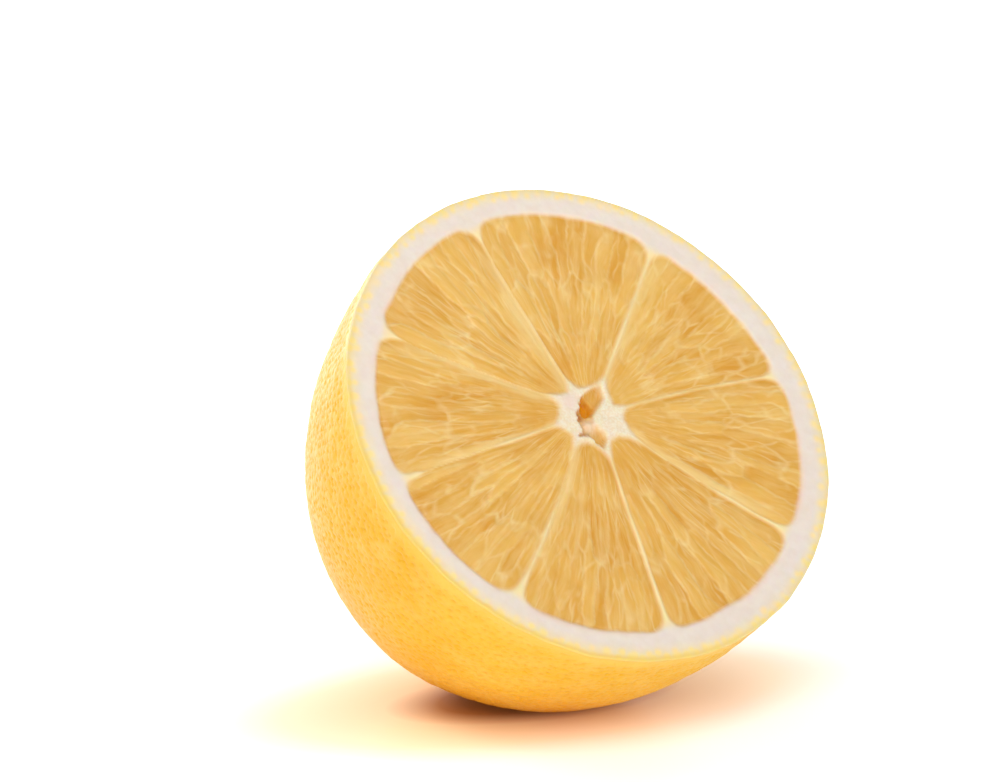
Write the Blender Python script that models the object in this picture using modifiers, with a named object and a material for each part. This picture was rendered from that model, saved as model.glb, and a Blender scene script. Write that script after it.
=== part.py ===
"""Half a lemon, cut across its middle and lying on its rind with the cut face turned up to the front.

Metres, +Z up. The origin is the middle of the small flat spot that the half rests on. The cut face
looks toward -Y and up, and its blossom end, with the nipple, points toward +Y and down.
"""

from math import atan, cos, pi, radians, sin, sqrt

import bmesh
import bpy
from mathutils import Euler, Vector

# The body is turned about the lemon's long axis. Depth is measured along it, from the cut face.
FACE_RADIUS = 0.031
BODY_DEPTH = 0.045
BODY_FULLNESS = 2.2  # 2 would be an ellipse; more keeps the sides straighter near the cut
NIPPLE_RADIUS = 0.0031
NIPPLE_END = 0.0490
NIPPLE_FLARE = 0.7  # how much wider the nipple gets for each unit back from its tip
FLARE_LENGTH = 0.010
SHOULDER = 0.0100  # how widely the body flows into the nipple

# How it lies.
FACE_TILT = radians(36.5)  # the cut face's direction, above the horizontal
REST_FLATTENING = 0.0008  # how much the rind gives where it rests

# The uneven growth of the rind.
LUMP_SIZE = 0.011
LUMP_HEIGHT = 0.0005

# The cut face. Angles run anticlockwise from +X, seen from in front of the face.
RIND_THICKNESS = 0.0033
CORE_RADIUS = 0.0052
WALL_ANGLES = (6, 53, 105, 149, 190, 229, 271, 321)
WALL_THICKNESS = 0.0008
SEGMENT_SINK = 0.0004
SEGMENT_CORNER = radians(7)

# The open hollow in the middle of the core.
HOLLOW_CENTRE = (0.0002, 0.0002)
HOLLOW_HALF_LENGTH = 0.0043
HOLLOW_HALF_WIDTH = 0.0016
HOLLOW_DEPTH = 0.0075
HOLLOW_TAPER = 0.45  # its floor against its mouth
HOLLOW_ANGLE = 70

TURN_STEPS = 72
SKIN_POINTS = 34
FACE_OVERCUT = 0.002  # how far the turned body runs past the cut face before the knife takes it off
CUTTER_SIZE = 0.2


def clear_scene():
    for obj in list(bpy.data.objects):
        bpy.data.objects.remove(obj, do_unlink=True)


def new_collection(name):
    collection = bpy.data.collections.new(name)
    bpy.context.scene.collection.children.link(collection)
    return collection


def peel_material():
    material = bpy.data.materials.new("lemon_peel")
    material.use_nodes = True
    shader = material.node_tree.nodes["Principled BSDF"]
    shader.inputs["Base Color"].default_value = (0.95, 0.62, 0.12, 1)
    shader.inputs["Roughness"].default_value = 0.35
    shader.inputs["Metallic"].default_value = 0.0
    return material


def skin_radius(depth):
    """The radius of the rind's outside at this depth, nipple included."""
    body = FACE_RADIUS * sqrt(max(0.0, 1 - abs(depth / BODY_DEPTH) ** BODY_FULLNESS))
    before_tip = NIPPLE_END - depth
    past_neck = max(0.0, NIPPLE_RADIUS - before_tip)
    nipple = sqrt(max(0.0, NIPPLE_RADIUS**2 - past_neck**2))
    nipple += NIPPLE_FLARE * min(before_tip, FLARE_LENGTH)
    meeting = max(0.0, SHOULDER - abs(body - nipple)) / SHOULDER
    fillet = meeting**2 * SHOULDER / 4 * min(1.0, before_tip / NIPPLE_RADIUS)
    return max(body, nipple) + fillet


def skin_depths():
    """Depths along the rind, from past the cut face to the tip, closer together toward the tip."""
    turns = [pi / 2 * i / (SKIN_POINTS - 1) for i in range(SKIN_POINTS)]
    return [-FACE_OVERCUT + (NIPPLE_END + FACE_OVERCUT) * sin(turn) for turn in turns]


def rest_contact():
    """(depth, radius) of the ring of rind that would touch the floor first."""
    depths = [NIPPLE_END * i / 2000 for i in range(2001)]
    lowest = max(depths, key=lambda d: d * sin(FACE_TILT) + skin_radius(d) * cos(FACE_TILT))
    return lowest, skin_radius(lowest)


def face_centre():
    """Where the middle of the cut face is, with the flattened spot's middle at the origin."""
    depth, radius = rest_contact()
    height = depth * sin(FACE_TILT) + radius * cos(FACE_TILT) - REST_FLATTENING
    forward = depth * cos(FACE_TILT) - radius * sin(FACE_TILT)
    return Vector((0, -forward, height))


def turned_body(collection):
    """The half's outside as a profile turned about local Z, with local +Z out of the cut face."""
    outline = [(0.0, FACE_OVERCUT)]
    outline += [(skin_radius(depth), -depth) for depth in skin_depths()]
    outline[-1] = (0.0, -NIPPLE_END)
    mesh = bpy.data.meshes.new("lemon_half")
    points = [(x, 0, z) for x, z in outline]
    mesh.from_pydata(points, [(i, i + 1) for i in range(len(points) - 1)], [])
    obj = bpy.data.objects.new("lemon_half", mesh)
    collection.objects.link(obj)
    screw = obj.modifiers.new("turn", "SCREW")
    screw.angle = 2 * pi
    screw.steps = TURN_STEPS
    screw.render_steps = TURN_STEPS
    screw.use_merge_vertices = True
    screw.merge_threshold = 0.0001
    screw.use_smooth_shade = True
    return obj


def add_lumps(obj):
    """A fruit isn't turned on a lathe: soft swells and dips over the rind."""
    texture = bpy.data.textures.new("rind_lumps", "CLOUDS")
    texture.noise_scale = LUMP_SIZE
    texture.noise_depth = 0
    displace = obj.modifiers.new("uneven growth", "DISPLACE")
    displace.texture = texture
    displace.texture_coords = "LOCAL"
    displace.strength = LUMP_HEIGHT
    displace.mid_level = 0.5


def place(obj):
    """Local +Z becomes the direction of the cut face, and local +Y runs up the face."""
    obj.rotation_euler = Euler((pi / 2 - FACE_TILT, 0, 0))
    obj.location = face_centre()


def make_cutter(name, mesh, collection):
    cutter = bpy.data.objects.new(name, mesh)
    cutter.hide_render = True
    cutter.display_type = "WIRE"
    collection.objects.link(cutter)
    return cutter


def cut(obj, cutter):
    boolean = obj.modifiers.new(cutter.name, "BOOLEAN")
    boolean.operation = "DIFFERENCE"
    boolean.solver = "EXACT"
    boolean.object = cutter


def box_mesh(name, centre):
    mesh = bpy.data.meshes.new(name)
    form = bmesh.new()
    bmesh.ops.create_cube(form, size=CUTTER_SIZE)
    bmesh.ops.translate(form, verts=form.verts, vec=centre)
    form.to_mesh(mesh)
    form.free()
    return mesh


def knife_cutter(collection):
    """Everything in front of the cut face."""
    mesh = box_mesh("knife_cut", (0, 0, CUTTER_SIZE / 2))
    cutter = make_cutter("knife_cut", mesh, collection)
    place(cutter)
    return cutter


def rest_cutter(collection):
    """Everything below the floor."""
    return make_cutter("rest_flat", box_mesh("rest_flat", (0, 0, -CUTTER_SIZE / 2)), collection)


def hollow_cutter(collection):
    """A tapering pit with a long narrow mouth, as the pulled-apart core leaves."""
    mesh = bpy.data.meshes.new("core_hollow")
    form = bmesh.new()
    bmesh.ops.create_cone(
        form,
        cap_ends=True,
        segments=12,
        radius1=HOLLOW_TAPER * HOLLOW_HALF_LENGTH,
        radius2=HOLLOW_HALF_LENGTH,
        depth=HOLLOW_DEPTH,
    )
    narrowing = Vector((1, HOLLOW_HALF_WIDTH / HOLLOW_HALF_LENGTH, 1))
    bmesh.ops.scale(form, vec=narrowing, verts=form.verts)
    bmesh.ops.rotate(form, matrix=Euler((0, 0, radians(HOLLOW_ANGLE))).to_matrix(), verts=form.verts)
    above_face = HOLLOW_DEPTH * 0.1
    centre = (*HOLLOW_CENTRE, above_face - HOLLOW_DEPTH / 2)
    bmesh.ops.translate(form, verts=form.verts, vec=centre)
    form.to_mesh(mesh)
    form.free()
    cutter = make_cutter("core_hollow", mesh, collection)
    place(cutter)
    return cutter


def segment_outline(start, end):
    """A juice segment on the cut face, between two walls, with its two outer corners rounded."""
    pulp_radius = FACE_RADIUS - RIND_THICKNESS
    gap_inside = atan(WALL_THICKNESS / 2 / CORE_RADIUS)
    gap_outside = atan(WALL_THICKNESS / 2 / pulp_radius)
    points = []
    low, high = start + gap_outside, end - gap_outside
    outer_steps = 18
    for i in range(outer_steps + 1):
        angle = (low + high) / 2 - (high - low) / 2 * cos(pi * i / outer_steps)
        from_wall = max(0.0, min(angle - low, high - angle))
        into_corner = max(0.0, 1 - from_wall / SEGMENT_CORNER)
        drop = SEGMENT_CORNER * pulp_radius * (1 - sqrt(1 - into_corner**2))
        points.append(((pulp_radius - drop) * cos(angle), (pulp_radius - drop) * sin(angle)))
    inner_steps = 3
    for i in range(inner_steps + 1):
        angle = (end - gap_inside) + (start - end + 2 * gap_inside) * i / inner_steps
        points.append((CORE_RADIUS * cos(angle), CORE_RADIUS * sin(angle)))
    return points


def outline_mesh(name, outline, half_thickness):
    """A flat outline with thickness, as a closed mesh."""
    curve = bpy.data.curves.new(name, "CURVE")
    curve.dimensions = "2D"
    curve.fill_mode = "BOTH"
    curve.extrude = half_thickness
    spline = curve.splines.new("POLY")
    spline.points.add(len(outline) - 1)
    for point, (x, y) in zip(spline.points, outline):
        point.co = (x, y, 0, 1)
    spline.use_cyclic_u = True
    source = bpy.data.objects.new(name, curve)
    bpy.context.scene.collection.objects.link(source)
    bpy.context.view_layer.update()
    evaluated = source.evaluated_get(bpy.context.evaluated_depsgraph_get())
    mesh = bpy.data.meshes.new_from_object(evaluated)
    bpy.data.objects.remove(source, do_unlink=True)
    form = bmesh.new()
    form.from_mesh(mesh)
    bmesh.ops.remove_doubles(form, verts=form.verts, dist=1e-6)
    bmesh.ops.recalc_face_normals(form, faces=form.faces)
    form.to_mesh(mesh)
    form.free()
    return mesh


def segment_cutters(collection):
    """The juice segments lie a little lower than the walls between them."""
    ends = [*WALL_ANGLES[1:], WALL_ANGLES[0] + 360]
    cutters = []
    for number, (start, end) in enumerate(zip(WALL_ANGLES, ends), start=1):
        name = f"segment_{number}"
        mesh = outline_mesh(name, segment_outline(radians(start), radians(end)), SEGMENT_SINK)
        cutter = make_cutter(name, mesh, collection)
        place(cutter)
        cutters.append(cutter)
    return cutters


def main():
    clear_scene()
    parts = new_collection("lemon")
    cutters = new_collection("cutters")
    half = turned_body(parts)
    half.data.materials.append(peel_material())
    add_lumps(half)
    place(half)
    cut(half, knife_cutter(cutters))
    cut(half, rest_cutter(cutters))
    cut(half, hollow_cutter(cutters))
    for cutter in segment_cutters(cutters):
        cut(half, cutter)


main()
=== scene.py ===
"""The looks of the lemon half: its rind, its pith and its cut juice segments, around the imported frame.

The surfaces are worked out in the lemon's own frame, in millimetres: u runs to the right over the cut
face, v up the face, and w out of it, from the middle of the face. The rind is turned about w. Angles on
the face run anticlockwise from u, and colours are linear RGB.
"""

from collections import namedtuple
from math import cos, pi, radians, sin, tau

import bpy
import numpy as np
from mathutils import Matrix, Vector


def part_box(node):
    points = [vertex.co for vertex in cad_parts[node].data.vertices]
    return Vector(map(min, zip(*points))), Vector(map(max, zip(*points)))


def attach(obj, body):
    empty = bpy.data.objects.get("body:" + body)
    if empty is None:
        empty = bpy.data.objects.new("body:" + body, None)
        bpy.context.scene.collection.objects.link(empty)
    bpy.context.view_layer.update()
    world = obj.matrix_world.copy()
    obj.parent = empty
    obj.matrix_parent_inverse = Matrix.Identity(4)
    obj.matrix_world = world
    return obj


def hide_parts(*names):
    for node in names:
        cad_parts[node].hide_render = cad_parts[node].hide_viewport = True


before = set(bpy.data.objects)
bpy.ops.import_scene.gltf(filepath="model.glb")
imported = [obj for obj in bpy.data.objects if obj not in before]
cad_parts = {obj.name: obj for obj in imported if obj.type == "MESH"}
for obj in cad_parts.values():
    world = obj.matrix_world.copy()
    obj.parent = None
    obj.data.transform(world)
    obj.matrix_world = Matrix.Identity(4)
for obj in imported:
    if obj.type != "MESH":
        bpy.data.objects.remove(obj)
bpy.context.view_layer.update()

NODE = "lemon_half"
MM = 0.001
FAR = 1e9

# The body, in millimetres, as the CAD has it.
FACE_TILT = radians(36.5)
FACE_RADIUS = 31.0
BODY_DEPTH = 45.0
BODY_FULLNESS = 2.2
NIPPLE_RADIUS = 3.1
NIPPLE_END = 49.0
NIPPLE_FLARE = 0.7
FLARE_LENGTH = 10.0
SHOULDER = 10.0

# The cut face, in millimetres.
PULP_RADIUS = 27.55
DISC_RADIUS = 28.9  # where the pulp's mesh hands over to the pith ring's
EDGE_ROUNDING = 0.2
EDGE_TUCK = 0.12  # how far inside the skin the face's mesh ends, below the rind's edge
RIM_WOBBLE = 0.13
PULP_SINK = 0.22  # how far the pulp lies below the pith

# The walls between segments. Each leaves the core at a point and meets the pith at an angle, and bows
# sideways on the way. It is clear (1) or lost in the pulp (0) in its inner and its outer half. Where it
# leans, a pale face of it shows on one side (+1 is anticlockwise), this wide.
Wall = namedtuple(
    "Wall", "core rim_angle bow half_thickness clear_inside clear_outside face_side face_width"
)
WALLS = (
    Wall((4.2, 0.9), 6.2, 0.5, 0.09, 0.8, 0.8, 1, 0.5),
    Wall((3.0, 4.6), 53.0, 0.0, 0.12, 1.0, 0.9, -1, 1.4),
    Wall((-1.5, 4.6), 105.0, 0.3, 0.10, 0.9, 0.6, 1, 2.0),
    Wall((-4.1, 3.3), 149.5, 0.4, 0.09, 0.5, 0.3, 1, 1.2),
    Wall((-4.8, -0.2), 190.5, 0.0, 0.10, 1.0, 0.3, -1, 0.9),
    Wall((-3.4, -2.8), 229.5, 0.6, 0.15, 0.3, 0.9, 1, 1.0),
    Wall((0.45, -4.5), 270.8, 0.0, 0.13, 1.0, 1.0, 1, 0.5),
    Wall((4.3, -2.7), 320.5, -0.5, 0.12, 0.4, 0.8, 1, 1.5),
)

# The white core's outline: it runs out into each wall and draws in before each segment.
CORE_OUTLINE = (
    (4.4, 0.95), (3.2, 1.5), (3.0, 4.6), (1.2, 4.2), (-0.6, 4.1), (-1.5, 4.8), (-2.2, 3.7),
    (-4.2, 3.4), (-3.8, 2.0), (-4.8, -0.3), (-3.4, -1.7), (-3.4, -2.9), (-2.0, -2.75),
    (-0.9, -3.2), (0.45, -4.7), (1.3, -2.9), (2.6, -2.45), (4.4, -2.8), (4.0, -0.6),
)
PINK_LOBE = (-2.5, 2.6)

# The torn hollow in the core, with a deeper pit, a pink lump and a corner with painted shade in it. The pit
# is the juice's orange, painted brighter as a glow of light shining through it.
HOLLOW_OUTLINE = (
    (2.75, 4.6), (1.5, 4.25), (0.3, 3.7), (-0.8, 3.0), (-1.2, 2.1), (-2.0, 1.0), (-2.1, -0.2),
    (-2.05, -1.5), (-2.9, -2.1), (-2.0, -2.15), (-1.4, -2.0), (-1.0, -2.9), (0.1, -4.6),
    (1.3, -2.7), (0.9, -1.6), (0.2, -0.7), (0.1, 0.1), (1.2, 1.0), (2.55, 2.3),
)
HOLLOW_PIT = (-0.3, 1.65)
PIT_DEPTH = 0.9
PIT_STRETCH = 1.25  # how much longer it is along v than along u
PINK_LUMP = (-0.8, -0.8)
# Where the painted shade in the hollow is darkest.
SHADED_CORNER = (-1.5, 0.5)

# The juice sacs lie in three tiers that overlap: how many across a segment, and their inner and outer ends.
SAC_TIERS = ((7, 3.5, 12), (9, 8.5, 20), (10, 17, 27.8))

# The rim's two rows of cut oil glands: how many, how far in from the skin, and a seed.
GLAND_ROWS = ((104, 0.9, 7), (128, 0.4, 8))
KNIFE_SLANT = radians(225)  # here the knife ran more along the skin, and the yellow spreads further

# The rind, in millimetres. A pore strays by up to this share of the spacing.
PORE_SPACING = 1.0
PORE_SIZE = 0.25
PORE_JITTER = 0.34
PORE_DEPTH = 0.2
LUMP_HEIGHT = 0.24
DIMPLE_HEIGHT = 0.06
NEAR_CUT = 23.0  # how far from the cut the rind's first piece reaches

# How fine the meshes are.
DISC_COUNT = 276
FLAT_RINGS = 12
ROUND_RINGS = 5
RIND_COLUMNS = 860
RIND_ROWS = 114


# ---------------------------------------------------------------- small maths


def smooth_step(value, low, high):
    """0 below low, 1 above high, and smooth between them."""
    t = np.clip((value - low) / (high - low), 0, 1)
    return t * t * (3 - 2 * t)


def smooth_max(a, b, width):
    """The larger of two fields, with the crease between them filled over this width."""
    near = np.clip(1 - np.abs(a - b) / width, 0, None)
    return np.maximum(a, b) + near * near * width / 4


def bell(distance, width):
    """1 at no distance, falling away to both sides."""
    return np.exp(-((distance / width) ** 2))


def distance_to(u, v, point):
    """How far each point is from this one."""
    return np.hypot(u - point[0], v - point[1])


def noise(x, y, seed, wrap=256):
    """Smooth random values from -1 to 1, one cell to each unit of x and y. x repeats after wrap."""
    table = np.random.default_rng(seed).uniform(-1, 1, (wrap, 256))
    x0, y0 = np.floor(x).astype(int), np.floor(y).astype(int)
    fx, fy = x - x0, y - y0
    fx, fy = fx * fx * (3 - 2 * fx), fy * fy * (3 - 2 * fy)
    near = table[x0 % wrap, y0 % 256] * (1 - fx) + table[(x0 + 1) % wrap, y0 % 256] * fx
    far = table[x0 % wrap, (y0 + 1) % 256] * (1 - fx) + table[(x0 + 1) % wrap, (y0 + 1) % 256] * fx
    return near * (1 - fy) + far * fy


def rough_noise(x, y, seed, wrap=256):
    """Three octaves of noise."""
    return (
        noise(x, y, seed, wrap)
        + 0.5 * noise(2 * x, 2 * y, seed + 1, 2 * wrap)
        + 0.25 * noise(4 * x, 4 * y, seed + 2, 4 * wrap)
    ) / 1.75


def ring_noise(angle, across, cells, seed):
    """Rough noise that closes after a full turn, with this many cells round it."""
    return rough_noise(angle / tau * cells, across, seed, cells)


def inside_polygon(u, v, outline):
    """How far inside an outline each point is, in millimetres, and negative outside it."""
    points = np.array(outline)
    nearest = np.full(u.shape, FAR)
    inside = np.zeros(u.shape, bool)
    for (au, av), (bu, bv) in zip(points, np.roll(points, -1, axis=0)):
        du, dv = bu - au, bv - av
        t = np.clip(((u - au) * du + (v - av) * dv) / (du * du + dv * dv), 0, 1)
        nearest = np.minimum(nearest, np.hypot(u - au - t * du, v - av - t * dv))
        if av != bv:
            crosses = (av > v) != (bv > v)
            inside ^= crosses & (u < (bu - au) * (v - av) / (bv - av) + au)
    return np.where(inside, nearest, -nearest)


# ---------------------------------------------------------------- from the lemon's frame to the row's


def face_centre():
    """The middle of the cut face, in metres. Its rim reaches the CAD box's front and its top."""
    low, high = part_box(NODE)
    radius = FACE_RADIUS * MM
    middle = (low.x + high.x) / 2
    return Vector((middle, low.y + radius * sin(FACE_TILT), high.z - radius * cos(FACE_TILT)))


def to_row(u, v, w):
    """Points in metres in the row frame."""
    centre = face_centre()
    x = centre.x + MM * u
    y = centre.y + MM * (v * sin(FACE_TILT) - w * cos(FACE_TILT))
    z = centre.z + MM * (v * cos(FACE_TILT) + w * sin(FACE_TILT))
    return np.stack([x, y, z], axis=-1)


# ---------------------------------------------------------------- meshes


def grid_faces(rows, columns, closed):
    """Quads over a grid of points, in rows. Closed joins the last column to the first."""
    across = columns if closed else columns - 1
    row, column = np.meshgrid(np.arange(rows - 1), np.arange(across), indexing="ij")
    following = (column + 1) % columns
    return np.stack(
        [row * columns + column, row * columns + following,
         (row + 1) * columns + following, (row + 1) * columns + column],
        axis=-1,
    ).reshape(-1, 4)


def add_attribute(mesh, name, values):
    """A number or a vector for each point, which the material reads by its name."""
    kind = "FLOAT_VECTOR" if values.ndim == 2 else "FLOAT"
    field = "vector" if values.ndim == 2 else "value"
    attribute = mesh.attributes.new(name, kind, "POINT")
    attribute.data.foreach_set(field, values.astype(np.float32).ravel())


def make_piece(name, points, faces, attributes, material, normals=None):
    """A piece of quads that stands for the CAD's solid."""
    mesh = bpy.data.meshes.new(name)
    mesh.vertices.add(len(points))
    mesh.vertices.foreach_set("co", points.astype(np.float32).ravel())
    mesh.loops.add(faces.size)
    mesh.loops.foreach_set("vertex_index", faces.astype(np.int32).ravel())
    mesh.polygons.add(len(faces))
    mesh.polygons.foreach_set("loop_start", np.arange(0, faces.size, 4, dtype=np.int32))
    mesh.update(calc_edges=True)
    mesh.validate()
    mesh.shade_smooth()
    for key, values in attributes.items():
        add_attribute(mesh, key, values)
    if normals is not None:
        mesh.normals_split_custom_set_from_vertices(normals.astype(np.float32))
    mesh.materials.append(material)
    piece = bpy.data.objects.new(name, mesh)
    bpy.context.scene.collection.objects.link(piece)
    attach(piece, "root")
    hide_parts(NODE)


# ---------------------------------------------------------------- the walls between the segments


def wall_angles(radius):
    """The angle of each wall's centre line at each radius, as a list of arrays."""
    along = np.linspace(0, 1, 24)
    found = []
    for wall in WALLS:
        core_u, core_v = wall.core
        rim_u = DISC_RADIUS * cos(radians(wall.rim_angle))
        rim_v = DISC_RADIUS * sin(radians(wall.rim_angle))
        length = np.hypot(rim_u - core_u, rim_v - core_v)
        aside = wall.bow * 4 * along * (1 - along)
        u = core_u + (rim_u - core_u) * along - aside * (rim_v - core_v) / length
        v = core_v + (rim_v - core_v) * along + aside * (rim_u - core_u) / length
        angle = np.unwrap(np.arctan2(v, u))
        angle += tau * round((radians(wall.rim_angle) - angle[-1]) / tau)
        found.append(np.interp(radius, np.hypot(u, v), angle))
    return found


# What is worked out once for each point of the cut face. Across runs over its segment from 0 to 1, and
# before and after are its distances to the walls on either side.
Place = namedtuple("Place", "u v radius angle segment across before after")


def find_place(u, v):
    """Where each point lies among the segments."""
    radius = np.hypot(u, v)
    angle = np.arctan2(v, u)
    walls = wall_angles(radius)
    walls.append(walls[0] + tau)
    segment = np.zeros(u.shape, int)
    across = np.zeros(u.shape)
    before = np.zeros(u.shape)
    after = np.zeros(u.shape)
    for number in range(len(WALLS)):
        start, end = walls[number], walls[number + 1]
        turn = start + (angle - start) % tau
        here = turn < end
        segment[here] = number
        across[here] = ((turn - start) / (end - start))[here]
        before[here] = ((turn - start) * radius)[here]
        after[here] = ((end - turn) * radius)[here]
    return Place(u, v, radius, angle, segment, across, before, after)


def wall_values(field, number):
    """One field of WALLS, for each point's wall."""
    return np.array([getattr(wall, field) for wall in WALLS])[number]


def inside_walls(at):
    """How far inside its nearer wall each point is, in millimetres, and that wall's half thickness."""
    number = np.where(at.before < at.after, at.segment, (at.segment + 1) % len(WALLS))
    thickness = wall_values("half_thickness", number)
    thickness = thickness + 0.14 * smooth_step(at.radius, 22, 27.5) + 0.1 * smooth_step(at.radius, 7, 4)
    clear_inside = wall_values("clear_inside", number)
    clear_outside = wall_values("clear_outside", number)
    clear = clear_inside + (clear_outside - clear_inside) * smooth_step(at.radius, 12, 19)
    clear_ends = np.maximum(smooth_step(at.radius, 23.5, 26), smooth_step(at.radius, 8, 6))
    lost = 1 - np.maximum(clear, clear_ends)
    uneven = 1 + 0.7 * noise(at.radius / 2.5, number * 3.7, 43)
    return thickness * uneven - np.minimum(at.before, at.after) - 0.35 * lost, thickness


def leaning_faces(at):
    """The pale bands where a wall leans and its face shows."""
    band = np.zeros(at.u.shape)
    for number, wall in enumerate(WALLS):
        if wall.face_side > 0:
            distance = np.where(at.segment == number, at.before, FAR)
        else:
            distance = np.where(at.segment == (number - 1) % len(WALLS), at.after, FAR)
        wide = wall.face_width * (0.8 + 0.35 * noise(at.radius / 4, 0 * at.radius + number, 51))
        fade = smooth_step(at.radius, 3, 6) * smooth_step(at.radius, 27, 20)
        band += (1 - smooth_step(distance, 0.3 * wide, 1.4 * wide)) * fade
    return np.clip(band, 0, 1)


# ---------------------------------------------------------------- the white parts and the hollow


# In_ring and inside say how far a point is inside the pith ring and inside all the white parts, in
# millimetres. The others run from 0 to 1: thick is the ring and the core, and not the thin walls.
White = namedtuple("White", "in_ring inside thick near_core pith")

# Inside is in millimetres and so is depth. The others run from 0 to 1, and the one before depth is painted
# shade in the hollow.
Hollow = namedtuple("Hollow", "inside opening pit lump dark depth")


def rim_radius(angle):
    """Where the pulp ends and the pith begins, slightly out of round."""
    return PULP_RADIUS + 0.3 * np.cos(angle - radians(165)) + 0.15 * np.cos(3 * angle + 1)


def white_parts(at, frayed):
    """The pith ring, the core, and the walls between segments, joined with rounded corners."""
    in_ring = at.radius - rim_radius(at.angle)
    in_ring = in_ring + 0.22 * ring_noise(at.angle, at.radius / 3, cells=40, seed=31)
    in_ring = in_ring + 0.1 * ring_noise(at.angle, at.radius / 0.8, cells=160, seed=35)
    in_core = inside_polygon(at.u, at.v, CORE_OUTLINE) + 0.7 * frayed
    in_wall, thickness = inside_walls(at)
    inside = smooth_max(smooth_max(in_ring, in_wall, 2.4), in_core, 0.8)
    thick = smooth_step(np.maximum(in_ring, in_core), -1.4, 0.1)
    near_core = smooth_step(at.radius, 9, 5)
    starts = -0.16 - thickness - 0.12 * thick - 0.05 * near_core
    pith = smooth_step(inside, starts, 0.2 + 0.2 * near_core)
    return White(in_ring, inside, thick, near_core, pith)


def torn_hollow(u, v, frayed):
    """The hollow in the core: frayed on its left side, with a slope that is softer on its right, and painted
    shade in its corner and along its left edge.
    """
    inside = inside_polygon(u, v, HOLLOW_OUTLINE) + 2.2 * frayed * smooth_step(-u, -0.8, 0.2)
    opening = smooth_step(inside, -0.05, 0.3 + 0.35 * smooth_step(u - 0.5 * v, -0.6, 0.2))
    from_pit = np.hypot(u - HOLLOW_PIT[0], (v - HOLLOW_PIT[1]) / PIT_STRETCH)
    pit = 1 - smooth_step(from_pit - frayed, 0.8, 1.0)
    lump = bell(distance_to(u, v, PINK_LUMP), 0.85)
    # Painted shade: darker in the hollow's corner and in the narrow crevice along its left edge, where shade
    # falls.
    dark = bell(distance_to(u, v, SHADED_CORNER), 0.5) + 0.5 * bell(inside - 0.1, 0.2) * (u < -1)
    dark = np.clip(dark * smooth_step(inside, -0.2, 0.1), 0, 1)
    depth = opening * (0.4 + 0.5 * smooth_step(inside, 0, 0.9)) * (1 - 0.8 * lump)
    depth = depth + PIT_DEPTH * pit * opening
    return Hollow(inside, opening, pit * opening, lump, dark, depth)


# ---------------------------------------------------------------- the juice sacs


def sac_spines(number, generator):
    """The middle lines of one segment's juice sacs: for each, a row of u and v, and how wide it is there.

    Each is a spindle: a thin tail toward the core, and a round head toward the rim.
    """
    spines = []
    for columns, low, high in SAC_TIERS:
        for column in range(columns):
            inner = low + generator.uniform(-1.5, 3.0)
            outer = high + generator.uniform(-3.0, 0.6)
            place = (column + 0.5 + generator.uniform(-0.4, 0.4)) / columns
            drift, curl = generator.uniform(-0.75, 0.75, 2) / columns
            share = np.linspace(0, 1, 9)
            radius = inner + (outer - inner) * share
            across = place + drift * (share - 0.5) + curl * (share - 0.5) ** 2
            walls = wall_angles(radius)
            walls.append(walls[0] + tau)
            turn = walls[number + 1] - walls[number]
            angle = walls[number] + across * turn
            fullness = generator.uniform(0.3, 0.5) * radius * turn / columns
            width = fullness * share**0.7 * np.sqrt(1 - share**4)
            spines.append((radius * np.cos(angle), radius * np.sin(angle), width))
    return spines


def distance_to_spindle(u, v, line_u, line_v, width):
    """The distance to the spindle's surface, negative inside it."""
    nearest = np.full(u.shape, FAR)
    for i in range(len(width) - 1):
        du, dv = line_u[i + 1] - line_u[i], line_v[i + 1] - line_v[i]
        t = np.clip(((u - line_u[i]) * du + (v - line_v[i]) * dv) / (du * du + dv * dv), 0, 1)
        here = np.hypot(u - line_u[i] - t * du, v - line_v[i] - t * dv)
        nearest = np.minimum(nearest, here - width[i] - t * (width[i + 1] - width[i]))
    return nearest


def juice_sacs(u, v, segment):
    """For each point: how far it is from the skin between two sacs, and its own sac's random number."""
    shifted_u = u + 0.35 * rough_noise(u / 2.5, v / 2.5, 11) + 0.1 * rough_noise(u / 0.7, v / 0.7, 14)
    shifted_v = v + 0.35 * rough_noise(u / 2.5, v / 2.5, 21) + 0.1 * rough_noise(u / 0.7, v / 0.7, 24)
    skin_distance = np.zeros(u.shape)
    sac_value = np.zeros(u.shape)
    for number in range(len(WALLS)):
        generator = np.random.default_rng(100 + number)
        here = np.flatnonzero(segment == number)
        here_u, here_v = shifted_u[here], shifted_v[here]
        spines = sac_spines(number, generator)
        values = generator.random(len(spines))
        reach = np.stack([distance_to_spindle(here_u, here_v, *spine) for spine in spines])
        order = np.argpartition(reach, 1, axis=0)[:2]
        two = np.take_along_axis(reach, order, axis=0)
        skin_distance[here] = np.abs(two[1] - two[0]) / 2
        nearest = np.take_along_axis(order, two.argmin(axis=0)[None], axis=0)[0]
        sac_value[here] = values[nearest]
    return skin_distance, sac_value


# ---------------------------------------------------------------- the cut face


def face_height(at, white, hollow, skin_distance, sac_value):
    """How far each point stands above the cut, in millimetres."""
    pulp = (1 - white.pith) * (1 - smooth_step(hollow.inside, -0.1, 0.1))
    sac_dome = 1 - bell(skin_distance, 0.35)
    sac_relief = 0.05 * sac_dome * (0.4 + sac_value) + 0.07 * (sac_value - 0.5)
    sponge = (0.04 + 0.08 * white.near_core) * rough_noise(at.u / 0.9, at.v / 0.9, 81)
    height = -PULP_SINK * (1 - white.pith)
    height = height + pulp * sac_relief * smooth_step(at.radius, 1, 14)
    height = height + pulp * 0.2 * rough_noise(at.u / 3.5, at.v / 3.5, 71)
    height = height - pulp * 0.1 * bell(white.inside, 0.6)
    height = height + white.pith * sponge
    return height - hollow.depth


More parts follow.
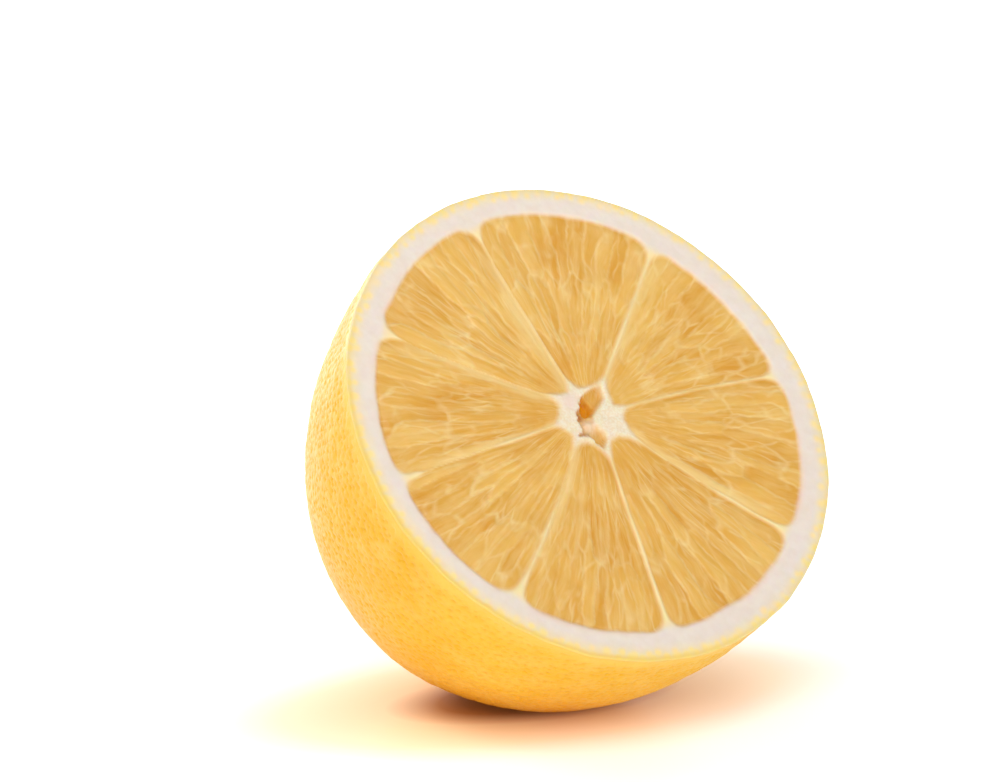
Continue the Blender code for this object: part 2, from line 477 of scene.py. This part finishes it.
def pink_tinge(at, white, hollow):
    """Pink along the pith ring's inner edge, on the lump in the hollow and on one lobe of the core."""
    from_walls = smooth_step(np.minimum(at.before, at.after), 0.8, 2.4)
    blush = 0.75 * bell(white.in_ring - 0.05, 0.4) * from_walls
    blush = blush * (0.45 + 0.55 * noise(at.angle / tau * 24, 0 * at.radius, 91, 24))
    blush += 0.9 * hollow.lump * (hollow.inside > -0.5)
    blush += 0.7 * white.pith * bell(distance_to(at.u, at.v, PINK_LOBE), 0.95)
    return np.clip(blush, 0, 1)


def sac_flow(at):
    """Runs out along the sacs in its first direction, and round the face in the other two."""
    turn = (at.segment + at.across) / len(WALLS) * tau + 0.03 * rough_noise(at.u / 4, at.v / 4, 131)
    return np.stack([at.radius, 18 * np.cos(turn), 18 * np.sin(turn)], axis=-1)


def cut_along_skin(angle):
    """1 where the knife ran more along the skin, at the lower left, and 0 away from there."""
    return smooth_step(np.cos(angle - KNIFE_SLANT), 0.1, 0.9)


def skin_line(radius, angle):
    """The yellow line of the skin round the rim."""
    return smooth_step(radius, FACE_RADIUS - 0.9, FACE_RADIUS - 0.1) * (0.35 + 0.65 * cut_along_skin(angle))


def cut_glands(radius, angle):
    """The oil glands cut through at the rim: soft yellow dots in two rows, in a pith that yellows too."""
    found = np.zeros(radius.shape)
    for count, inset, seed in GLAND_ROWS:
        place = angle / tau * count
        column = np.round(place)
        jitter = np.random.default_rng(seed).uniform(-1, 1, (count, 4))[column.astype(int) % count]
        aside = (place - column - 0.25 * jitter[..., 0]) * tau / count * radius
        inward = radius - (FACE_RADIUS - inset - 0.22 * jitter[..., 1])
        size = 0.55 + 0.14 * jitter[..., 2]
        strength = smooth_step(jitter[..., 3], -1.2, -0.2)
        dot = 1 - smooth_step(np.hypot(aside, inward), 0.2 * size, 1.3 * size)
        found = np.maximum(found, dot * strength)
    uneven = 0.25 * ring_noise(angle, radius, cells=90, seed=141)
    spread = cut_along_skin(angle)
    haze = smooth_step(radius + uneven, FACE_RADIUS - 2.0 - 0.4 * spread, FACE_RADIUS - 0.2)
    return np.clip(found * 0.6 + (0.42 + 0.2 * spread) * haze, 0, 1)


def face_fields(u, v):
    """What the cut face shows at the points (u, v): its height in millimetres, and its attributes."""
    at = find_place(u, v)
    frayed = 0.16 * rough_noise(u / 0.35, v / 0.35, 41)
    white = white_parts(at, frayed)
    hollow = torn_hollow(u, v, frayed)
    skin_distance, sac_value = juice_sacs(u, v, at.segment)
    attributes = {
        "calm": np.maximum(0.85 * smooth_step(at.radius, 15, 5), hollow.opening),
        "pith": white.pith * (1 - hollow.opening * (1 - 0.8 * hollow.lump)),
        "cream": white.near_core * (1 - 0.8 * bell(distance_to(u, v, PINK_LOBE), 1.3)),
        "thick": white.thick,
        "skin": np.clip(skin_distance, 0, 1),
        "skin_strength": np.clip(0.45 + 0.6 * rough_noise(u / 1.8, v / 1.8, 61), 0, 1),
        "band": leaning_faces(at) * (1 - white.pith),
        "sac": sac_value,
        "blush": pink_tinge(at, white, hollow),
        "pit": hollow.pit,
        "dark": hollow.dark,
        "zest": cut_glands(at.radius, at.angle),
        "skin_line": skin_line(at.radius, at.angle),
        "flow": sac_flow(at),
    }
    return face_height(at, white, hollow, skin_distance, sac_value), attributes


def rim_wobble(angle):
    """The knife leaves the rim a little wavy: how far out it is, in millimetres."""
    return RIM_WOBBLE * ring_noise(angle, 0 * angle, cells=52, seed=221)


def disc_grid(count):
    """Points spread evenly over a disc of radius 1: a square grid, bent so that its edge is the circle."""
    steps = np.linspace(-1, 1, count + 1)
    x, y = np.meshgrid(steps, steps, indexing="ij")
    sideways = np.abs(x) > np.abs(y)
    reach = np.where(sideways, x, y)
    safe = np.where(reach == 0, 1, reach)
    turn = np.where(sideways, pi / 4 * y / safe, pi / 2 - pi / 4 * x / safe)
    return reach * np.cos(turn), reach * np.sin(turn)


def disc_edge(count):
    """The numbers of the disc's edge points, anticlockwise from -45 degrees."""
    number = np.arange((count + 1) ** 2).reshape(count + 1, count + 1)
    return np.concatenate([number[-1, :-1], number[:0:-1, -1], number[0, :0:-1], number[:-1, 0]])


def rim_profile():
    """(radius, drop) of the rings round the disc: flat pith, the rounded edge, and a tuck below the rind."""
    flat = np.linspace(DISC_RADIUS, FACE_RADIUS - EDGE_ROUNDING, FLAT_RINGS)[1:]
    turn = np.linspace(0, pi / 2, ROUND_RINGS)[1:]
    radius = np.concatenate([flat, flat[-1] + EDGE_ROUNDING * np.sin(turn), [FACE_RADIUS - EDGE_TUCK]])
    drop = np.concatenate([0 * flat, EDGE_ROUNDING * (1 - np.cos(turn)), [2.4 * EDGE_ROUNDING]])
    return radius, drop


def build_cut_face(material):
    """The disc of pulp, then rings of pith round it, then the rounded edge, tucked in under the rind."""
    u, v = disc_grid(DISC_COUNT)
    u, v = u.ravel() * DISC_RADIUS, v.ravel() * DISC_RADIUS
    edge = disc_edge(DISC_COUNT)
    angle = np.arctan2(v[edge], u[edge])
    ring_radius, ring_drop = rim_profile()
    ring_u, ring_v = np.outer(ring_radius, np.cos(angle)), np.outer(ring_radius, np.sin(angle))
    u, v = np.concatenate([u, ring_u.ravel()]), np.concatenate([v, ring_v.ravel()])
    height, attributes = face_fields(u, v)
    height[-ring_u.size:] -= np.repeat(ring_drop, len(edge))
    radius = np.hypot(u, v)
    near_rim = smooth_step(radius, DISC_RADIUS, FACE_RADIUS - EDGE_ROUNDING)
    wobble = rim_wobble(np.arctan2(v, u)) * near_rim / radius.clip(1)
    u, v = u * (1 + wobble), v * (1 + wobble)

    disc_faces = grid_faces(DISC_COUNT + 1, DISC_COUNT + 1, closed=False)[:, ::-1]
    rings = np.arange(ring_u.size).reshape(ring_u.shape) + (DISC_COUNT + 1) ** 2
    rings = np.concatenate([edge[None, :], rings])
    ring_faces = rings.ravel()[grid_faces(len(rings), len(edge), closed=True)[:, ::-1]]
    faces = np.concatenate([disc_faces, ring_faces])
    make_piece("cut_face", to_row(u, v, height), faces, attributes, material)


# ---------------------------------------------------------------- the rind


def skin_radius(depth):
    """The radius of the rind's outside at this depth, nipple included, as the CAD has it."""
    reach = np.clip(depth, 0, None) / BODY_DEPTH
    body = FACE_RADIUS * np.sqrt(np.clip(1 - reach**BODY_FULLNESS, 0, None))
    before_tip = NIPPLE_END - depth
    past_neck = np.clip(NIPPLE_RADIUS - before_tip, 0, None)
    nipple = np.sqrt(np.clip(NIPPLE_RADIUS**2 - past_neck**2, 0, None))
    nipple = nipple + NIPPLE_FLARE * np.clip(before_tip, 0, FLARE_LENGTH)
    meeting = np.clip(SHOULDER - np.abs(body - nipple), 0, None) / SHOULDER
    fillet = meeting**2 * SHOULDER / 4 * np.clip(before_tip / NIPPLE_RADIUS, 0, 1)
    return np.maximum(body, nipple) + fillet


def skin_profile():
    """(radius, depth, length along the skin) from just behind the cut to the tip, closer near the cut."""
    depth = NIPPLE_END * np.sin(np.linspace(0, pi / 2, 4000))
    radius = skin_radius(depth)
    radius[-1] = 0
    keep = depth > EDGE_ROUNDING
    radius, depth = radius[keep], depth[keep]
    length = np.concatenate([[0], np.cumsum(np.hypot(np.diff(radius), np.diff(depth)))])
    near = np.linspace(0, NEAR_CUT, RIND_ROWS)
    at = np.concatenate([near, np.linspace(NEAR_CUT, length[-1], RIND_ROWS)[1:]])
    return np.interp(at, length, radius), np.interp(at, length, depth), at


def pores(angle, along, radius):
    """The oil glands' dimples: 1 in the middle of a pore, 0 between pores."""
    row = np.floor(along / PORE_SPACING)
    found = np.zeros(angle.shape)
    table = np.random.default_rng(5).uniform(-1, 1, (64, 256, 4))
    for row_step in (-1, 0, 1):
        this_row = row + row_step
        ring_radius = np.interp((this_row + 0.5) * PORE_SPACING, along[:, 0], radius[:, 0])
        count = np.maximum(6, np.round(tau * ring_radius / PORE_SPACING))
        place = angle / tau * count + 0.5 * (this_row % 2)
        for column_step in (-1, 0, 1):
            column = np.floor(place) + column_step
            jitter = table[this_row.astype(int) % 64, (column % count).astype(int) % 256]
            aside = (place - column - 0.5 - PORE_JITTER * jitter[..., 0]) / count * tau * ring_radius
            up = along - (this_row + 0.5 + PORE_JITTER * jitter[..., 1]) * PORE_SPACING
            size = PORE_SIZE + 0.07 * jitter[..., 2]
            pore = bell(np.hypot(aside, up), size) * (0.75 + 0.25 * jitter[..., 3])
            found = np.maximum(found, pore)
    return found


def grid_normals(points):
    """Outward normals of a closed ring grid, so that the rind's two pieces shade as one."""
    round_it = np.roll(points, -1, axis=1) - np.roll(points, 1, axis=1)
    down_it = np.gradient(points, axis=0)
    normals = np.cross(down_it, round_it)
    length = np.linalg.norm(normals, axis=-1, keepdims=True)
    return normals / np.maximum(length, 1e-12)


def rind_surface():
    """The skin as a grid of points, rings of them from the cut's edge to the tip, and its attributes."""
    radius, depth, along = skin_profile()
    angle = np.linspace(0, tau, RIND_COLUMNS, endpoint=False)[None, :] + 0 * radius[:, None]
    radius, depth, along = (column[:, None] + 0 * angle for column in (radius, depth, along))
    slope = np.arctan2(np.gradient(radius, axis=0), np.gradient(depth, axis=0))

    lumps = ring_noise(angle, along / 8, cells=24, seed=201)
    dimples = ring_noise(angle, along / 1.3, cells=150, seed=211)
    in_from_edge = smooth_step(along, 0.0, 1.5)
    near_axis = smooth_step(radius, 0.5, 6)
    pore = pores(angle, along, radius) * in_from_edge * (0.35 + 0.65 * near_axis)
    rise = LUMP_HEIGHT * lumps * in_from_edge * near_axis
    rise = rise + DIMPLE_HEIGHT * dimples * in_from_edge * near_axis - PORE_DEPTH * pore
    rise += rim_wobble(angle) * smooth_step(along, 7, 0)

    out = radius + rise * np.cos(slope)
    deep = depth - rise * np.sin(slope)
    points = to_row(out * np.cos(angle), out * np.sin(angle), -deep)
    points[..., 2] = np.maximum(points[..., 2], 0)
    return points, {"pore": pore, "edge": 1 - smooth_step(along, 0.3, 3.0)}


def build_rind(material):
    """The skin in two pieces that meet in a ring."""
    points, fields = rind_surface()
    normals = grid_normals(points)
    pieces = (("rind_near_cut", 0, RIND_ROWS), ("rind_tip", RIND_ROWS - 1, 2 * RIND_ROWS - 1))
    for name, first, last in pieces:
        made = points[first:last]
        make_piece(
            name,
            made.reshape(-1, 3),
            grid_faces(len(made), RIND_COLUMNS, closed=True)[:, ::-1],
            {key: values[first:last].ravel() for key, values in fields.items()},
            material,
            normals[first:last].reshape(-1, 3),
        )


# ---------------------------------------------------------------- materials


class Nodes:
    """A short way to build one material's nodes."""

    def __init__(self, name):
        self.material = bpy.data.materials.new(name)
        self.material.use_nodes = True
        self.tree = self.material.node_tree
        self.shader = self.tree.nodes["Principled BSDF"]

    def link(self, source, target):
        self.tree.links.new(source, target)

    def attribute(self, name, output="Fac"):
        node = self.tree.nodes.new("ShaderNodeAttribute")
        node.attribute_name = name
        return node.outputs[output]

    def object_coordinates(self):
        return self.tree.nodes.new("ShaderNodeTexCoord").outputs["Object"]

    def noise(self, vector, scale, detail=3.0, roughness=0.5):
        node = self.tree.nodes.new("ShaderNodeTexNoise")
        node.inputs["Scale"].default_value = scale
        node.inputs["Detail"].default_value = detail
        node.inputs["Roughness"].default_value = roughness
        self.link(vector, node.inputs["Vector"])
        return node.outputs["Fac"]

    def cell_lines(self, vector, width):
        """Thin lines between irregular cells: 1 on a line, 0 off it."""
        node = self.tree.nodes.new("ShaderNodeTexVoronoi")
        node.feature = "DISTANCE_TO_EDGE"
        node.inputs["Scale"].default_value = 1.0
        self.link(vector, node.inputs["Vector"])
        return self.to_range(node.outputs["Distance"], 0.0, width, 1.0, 0.0)

    def stretch(self, vector, scale):
        node = self.tree.nodes.new("ShaderNodeMapping")
        node.inputs["Scale"].default_value = scale
        self.link(vector, node.inputs["Vector"])
        return node.outputs["Vector"]

    def length(self, vector):
        node = self.tree.nodes.new("ShaderNodeVectorMath")
        node.operation = "LENGTH"
        self.link(vector, node.inputs[0])
        return node.outputs["Value"]

    def to_range(self, value, from_low, from_high, low, high):
        node = self.tree.nodes.new("ShaderNodeMapRange")
        node.inputs["From Min"].default_value = from_low
        node.inputs["From Max"].default_value = from_high
        node.inputs["To Min"].default_value = low
        node.inputs["To Max"].default_value = high
        self.link(value, node.inputs["Value"])
        return node.outputs["Result"]

    def maths(self, operation, a, b):
        node = self.tree.nodes.new("ShaderNodeMath")
        node.operation = operation
        for socket, value in zip(node.inputs, (a, b)):
            if isinstance(value, (int, float)):
                socket.default_value = value
            else:
                self.link(value, socket)
        return node.outputs["Value"]

    def times(self, a, b):
        return self.maths("MULTIPLY", a, b)

    def mix(self, share, a, b):
        """a where share is 0, b where it is 1. Colours are tuples or sockets."""
        node = self.tree.nodes.new("ShaderNodeMix")
        node.data_type = "RGBA"
        sockets = (node.inputs["Factor"], node.inputs[6], node.inputs[7])
        for socket, value in zip(sockets, (share, a, b)):
            if isinstance(value, tuple):
                socket.default_value = (*value, 1)
            else:
                self.link(value, socket)
        return node.outputs[2]

    def bump(self, height, distance, strength):
        node = self.tree.nodes.new("ShaderNodeBump")
        node.inputs["Strength"].default_value = strength
        node.inputs["Distance"].default_value = distance
        self.link(height, node.inputs["Height"])
        self.link(node.outputs["Normal"], self.shader.inputs["Normal"])

    def soft(self, weight, radius, scale):
        """Light that goes in and comes out again nearby."""
        self.shader.inputs["Subsurface Weight"].default_value = weight
        self.shader.inputs["Subsurface Radius"].default_value = radius
        self.shader.inputs["Subsurface Scale"].default_value = scale


JUICE_DEEP = (0.70, 0.335, 0.042)
JUICE_LIGHT = (0.80, 0.475, 0.11)
JUICE_STREAK = (0.88, 0.63, 0.25)
SAC_SKIN = (0.91, 0.73, 0.36)
WALL_FACE = (0.89, 0.68, 0.31)
WALL_EDGE = (0.90, 0.74, 0.41)
PITH_DEEP = (0.80, 0.695, 0.60)
PITH_LIGHT = (0.825, 0.73, 0.645)
SPONGE_DEEP = (0.84, 0.70, 0.46)
SPONGE_LIGHT = (0.88, 0.79, 0.60)
BLUSH_PINK = (0.86, 0.55, 0.42)
# A painted glow for the pit, as light shining through the juice, and painted shade in orange-brown for the
# hollow's corner and crevice.
PIT_GLOW_ORANGE = (0.84, 0.34, 0.003)
PIT_CREVICE_SHADE = (0.50, 0.10, 0.01)
GLAND_YELLOW = (1.0, 0.74, 0.25)
CUT_SKIN = (0.90, 0.56, 0.10)
PULP_ROUGHNESS = (0.26, 0.26, 0.26)  # a grey, as the mix node takes colours
PITH_ROUGHNESS = (0.62, 0.62, 0.62)


def juice_colour(m, where, flow, streaks, lively):
    """Amber juice, with pale streaks and threads along the sacs and the pale skins between them."""
    clouds = m.noise(where, 120.0, detail=3.0)
    depth_of_juice = m.maths("ADD", m.times(m.attribute("sac"), 0.25), m.times(clouds, 0.75))
    colour = m.mix(m.to_range(depth_of_juice, 0.3, 0.7, 0.0, 1.0), JUICE_DEEP, JUICE_LIGHT)
    colour = m.mix(m.times(m.to_range(streaks, 0.38, 0.75, 0.0, 0.55), lively), colour, JUICE_STREAK)
    patches = m.to_range(m.noise(where, 330.0, detail=2.0), 0.42, 0.62, 0.0, 1.0)
    threads = m.times(m.cell_lines(m.stretch(flow, (0.17, 0.8, 0.8)), 0.09), patches)
    colour = m.mix(m.times(threads, 0.4), colour, SAC_SKIN)
    skins = m.times(m.to_range(m.attribute("skin"), 0.0, 0.25, 1.0, 0.0), m.attribute("skin_strength"))
    skins = m.times(skins, m.to_range(m.attribute("calm"), 0.0, 1.0, 1.0, 0.3))
    colour = m.mix(m.times(skins, 0.65), colour, SAC_SKIN)
    return m.mix(m.times(m.attribute("band"), 0.6), colour, WALL_FACE)


def white_colour(m, where, grain):
    """Cloudy white pith, a creamy spongy core, and thin walls that the juice shows through."""
    mottle = m.to_range(m.noise(where, 700.0, detail=4.0), 0.35, 0.65, 0.0, 1.0)
    sponge = m.mix(m.to_range(grain, 0.42, 0.6, 0.0, 1.0), SPONGE_DEEP, SPONGE_LIGHT)
    colour = m.mix(m.times(m.attribute("cream"), 0.85), m.mix(mottle, PITH_DEEP, PITH_LIGHT), sponge)
    return m.mix(m.attribute("thick"), WALL_EDGE, colour)


def cut_face_material():
    """Juice and white parts, with the hollow's orange pit painted as a glow, painted shade in the hollow, a
    pink tinge and the yellow glands at the rim.
    """
    m = Nodes("cut_face")
    where = m.object_coordinates()
    flow = m.attribute("flow", "Vector")
    pith = m.attribute("pith")
    grain = m.noise(where, 3500.0, detail=2.0)
    streaks = m.noise(m.stretch(flow, (0.16, 1.4, 1.4)), 1.0, detail=3.0, roughness=0.55)
    lively = m.to_range(m.attribute("calm"), 0.0, 1.0, 1.0, 0.1)

    colour = m.mix(pith, juice_colour(m, where, flow, streaks, lively), white_colour(m, where, grain))
    colour = m.mix(m.times(m.attribute("blush"), 0.45), colour, BLUSH_PINK)
    # Painted glow in the pit.
    colour = m.mix(m.attribute("pit"), colour, PIT_GLOW_ORANGE)
    # Painted shade in the hollow's corner and along its left edge.
    colour = m.mix(m.times(m.attribute("dark"), 0.8), colour, PIT_CREVICE_SHADE)
    colour = m.mix(m.times(m.attribute("zest"), 0.85), colour, GLAND_YELLOW)
    colour = m.mix(m.times(m.attribute("skin_line"), 0.8), colour, CUT_SKIN)
    m.link(colour, m.shader.inputs["Base Color"])

    m.link(m.mix(pith, PULP_ROUGHNESS, PITH_ROUGHNESS), m.shader.inputs["Roughness"])
    pulp_only = m.times(m.to_range(pith, 0.0, 0.7, 1.0, 0.0), lively)
    m.bump(m.maths("ADD", m.times(streaks, pulp_only), m.times(grain, 0.15)), 0.00015, 0.35)
    m.soft(0.5, (1.0, 0.55, 0.2), 0.0014)
    m.shader.inputs["IOR"].default_value = 1.37
    return m.material


SKIN_DEEP = (0.77, 0.40, 0.015)
SKIN_LIGHT = (0.79, 0.455, 0.028)
# Pale patches of painted sheen on the waxy skin.
SKIN_SHEEN_PATCH = (0.86, 0.56, 0.13)
SKIN_SPECK = (0.88, 0.60, 0.13)
SKIN_EDGE = (0.91, 0.60, 0.13)
PORE_ORANGE = (0.78, 0.36, 0.008)


def rind_material():
    """Waxy yellow skin with pores, and random pale patches of painted sheen."""
    m = Nodes("rind")
    where = m.object_coordinates()
    blotches = m.noise(where, 90.0, detail=3.0)
    fine = m.noise(where, 1400.0, detail=3.0, roughness=0.6)
    patches = m.noise(where, 260.0, detail=3.0)
    colour = m.mix(m.to_range(blotches, 0.35, 0.65, 0.0, 1.0), SKIN_DEEP, SKIN_LIGHT)
    # Painted sheen: random pale patches that stand in for the skin's broken-up reflections.
    colour = m.mix(m.to_range(patches, 0.45, 0.7, 0.0, 0.4), colour, SKIN_SHEEN_PATCH)
    colour = m.mix(m.to_range(fine, 0.35, 0.7, 0.0, 0.25), colour, SKIN_SPECK)
    colour = m.mix(m.times(m.attribute("pore"), 0.6), colour, PORE_ORANGE)
    colour = m.mix(m.times(m.attribute("edge"), 0.5), colour, SKIN_EDGE)
    m.link(colour, m.shader.inputs["Base Color"])
    m.link(m.to_range(fine, 0.3, 0.7, 0.28, 0.40), m.shader.inputs["Roughness"])
    m.bump(fine, 0.0002, 0.7)
    m.soft(0.1, (1.0, 0.5, 0.12), 0.0008)
    m.shader.inputs["IOR"].default_value = 1.45
    m.shader.inputs["Specular IOR Level"].default_value = 0.12
    return m.material


PAINTED_SHADOW_OVAL = (0.042, 0.024)  # half-sizes of the oval round the fruit where the floor has painted shadow and painted warm light bounced from the fruit, sideways and to the back, in metres
# Painted shadow where the fruit meets the floor, then painted warm light bounced from the fruit, then the
# floor's own white.
FLOOR_CONTACT_SHADOW = (0.50, 0.20, 0.05)
FLOOR_WARM_BOUNCE = (1.0, 0.84, 0.58)
FLOOR_WHITE = (0.93, 0.92, 0.91)
# The glow's colour: painted warm bounce light close to the fruit, white further out.
GLOW_WARM_BOUNCE = (1.0, 0.42, 0.16)
GLOW_WHITE = (1.0, 1.0, 1.0)


def floor_material():
    """White and a little glossy, glowing as an overlit table does. Close to the fruit its colour and its
    glow carry a painted shadow and painted warm light bounced from the fruit.
    """
    m = Nodes("floor_white")
    distance = m.length(m.stretch(m.object_coordinates(), (1 / PAINTED_SHADOW_OVAL[0], 1 / PAINTED_SHADOW_OVAL[1], 1.0)))
    # Painted shadow and painted warm bounce light close to the fruit, fading to the floor's white.
    colour = m.mix(m.to_range(distance, 0.3, 0.47, 0.0, 1.0), FLOOR_CONTACT_SHADOW, FLOOR_WARM_BOUNCE)
    colour = m.mix(m.to_range(distance, 0.78, 1.08, 0.0, 1.0), colour, FLOOR_WHITE)
    m.link(colour, m.shader.inputs["Base Color"])
    # The glow is painted warm close to the fruit, as light bounced from it.
    glow = m.mix(m.to_range(distance, 0.3, 1.05, 0.0, 1.0), GLOW_WARM_BOUNCE, GLOW_WHITE)
    m.link(glow, m.shader.inputs["Emission Color"])
    # The glow is held low close to the fruit, a painted shade round it, and rises further out.
    near_glow = m.to_range(distance, 0.25, 0.95, 0.03, 0.42)
    far_glow = m.to_range(distance, 1.4, 6.0, 0.0, 0.3)
    m.link(m.maths("ADD", near_glow, far_glow), m.shader.inputs["Emission Strength"])
    m.shader.inputs["Roughness"].default_value = 0.35
    m.shader.inputs["Specular IOR Level"].default_value = 0.35
    return m.material


# ---------------------------------------------------------------- the scene around it


def build_floor():
    bpy.ops.mesh.primitive_plane_add(size=6)
    floor = bpy.context.object
    floor.name = "floor"
    floor.data.materials.append(floor_material())


# The world's brightness: 1 up to the sine of this elevation, then fading to the overhead value.
HORIZON_TOP = 0.17
HORIZON_FADE = 0.2
OVERHEAD_LIGHT = 0.34


def build_world():
    """Soft light from all round: white at the horizon, as the backdrop is, and dimmer overhead."""
    world = bpy.data.worlds.new("studio")
    world.use_nodes = True
    tree = world.node_tree
    direction = tree.nodes.new("ShaderNodeTexCoord")
    split = tree.nodes.new("ShaderNodeSeparateXYZ")
    fade = tree.nodes.new("ShaderNodeMapRange")
    fade.inputs["From Min"].default_value = HORIZON_TOP
    fade.inputs["From Max"].default_value = HORIZON_TOP + HORIZON_FADE
    fade.inputs["To Min"].default_value = 1.0
    fade.inputs["To Max"].default_value = OVERHEAD_LIGHT
    background = tree.nodes["Background"]
    background.inputs["Color"].default_value = (1, 1, 1, 1)
    tree.links.new(direction.outputs["Generated"], split.inputs["Vector"])
    tree.links.new(split.outputs["Z"], fade.inputs["Value"])
    tree.links.new(fade.outputs["Result"], background.inputs["Strength"])
    bpy.context.scene.world = world


def area_light(name, place, size, power):
    """A square light, in metres and watts, that faces the cut face's middle."""
    light = bpy.data.lights.new(name, "AREA")
    light.energy = power
    light.size = size
    lamp = bpy.data.objects.new(name, light)
    bpy.context.scene.collection.objects.link(lamp)
    lamp.location = place
    lamp.rotation_euler = (face_centre() - Vector(place)).to_track_quat("-Z", "Y").to_euler()


def build_light():
    build_world()
    area_light("bright_back", (-0.1, 0.9, 0.3), size=0.7, power=4.0)
    area_light("net_sheen", (-0.35, 0.35, 0.5), size=0.2, power=0.9)
    area_light("soft_front", (-0.4, -0.55, 0.62), size=0.8, power=3.85)
    area_light("top_front", (0.1, -0.3, 0.75), size=0.2, power=0.5)
    bpy.context.scene.view_settings.view_transform = "Standard"


# The camera, in degrees and metres, with its lens and sensor in millimetres.
CAMERA_AZIMUTH = -30.1
CAMERA_ELEVATION = 10.0
CAMERA_DISTANCE = 0.43
CAMERA_LENS = 132.6
CAMERA_SENSOR = 36
# How far the middle of the cut face lies from the middle of the view, to its right and upward, in metres.
FACE_OFF_CENTRE = (0.01096, -0.00313)


def build_camera():
    azimuth, elevation = radians(CAMERA_AZIMUTH), radians(CAMERA_ELEVATION)
    back = Vector((sin(azimuth) * cos(elevation), -cos(azimuth) * cos(elevation), sin(elevation)))
    right = Vector((cos(azimuth), sin(azimuth), 0))
    up = back.cross(right)
    camera = bpy.data.objects.new("camera", bpy.data.cameras.new("camera"))
    bpy.context.scene.collection.objects.link(camera)
    camera.data.lens = CAMERA_LENS
    camera.data.sensor_width = CAMERA_SENSOR
    place = face_centre() + back * CAMERA_DISTANCE - right * FACE_OFF_CENTRE[0] - up * FACE_OFF_CENTRE[1]
    turn = Matrix((right, up, back)).transposed()
    camera.matrix_world = Matrix.Translation(place) @ turn.to_4x4()
    bpy.context.scene.camera = camera


def main():
    build_cut_face(cut_face_material())
    build_rind(rind_material())
    build_floor()
    build_light()
    build_camera()


main()
